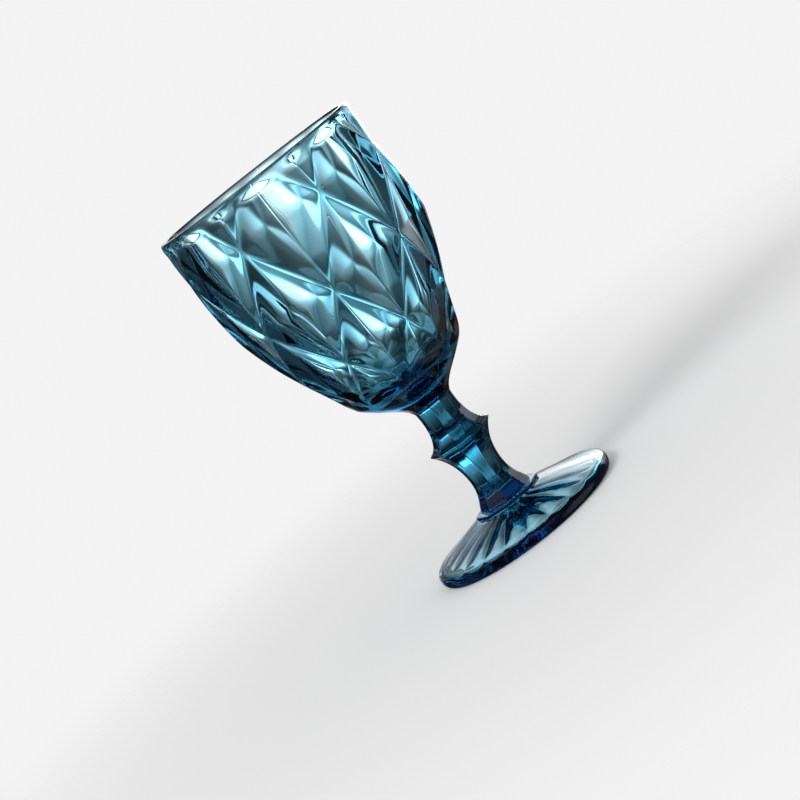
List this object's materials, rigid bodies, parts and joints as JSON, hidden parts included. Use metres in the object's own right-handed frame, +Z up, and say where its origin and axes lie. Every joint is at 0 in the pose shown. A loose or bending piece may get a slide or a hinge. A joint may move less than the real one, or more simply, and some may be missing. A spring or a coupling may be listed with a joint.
{
  "type": "glass goblet",
  "caption": "Stemmed drinking goblet in blue pressed glass, with a diamond-pattern bowl, a faceted stem with a sharp knop and collar, and a round foot fluted underneath.",
  "frame": {"origin": "middle of the resting ring under the foot", "axes": "+Z up along the goblet's axis from the foot to the rim; -Y towards the mould seam that faces the viewer"},
  "size_m": [0.0858, 0.0858, 0.165],
  "materials": {
    "blue_glass": "clear tinted pressed glass with a fire-polished shine"
  },
  "bodies": {
    "root": {"bowl": "blue_glass", "stem": "blue_glass", "foot": "blue_glass"}
  },
  "joints": []
}
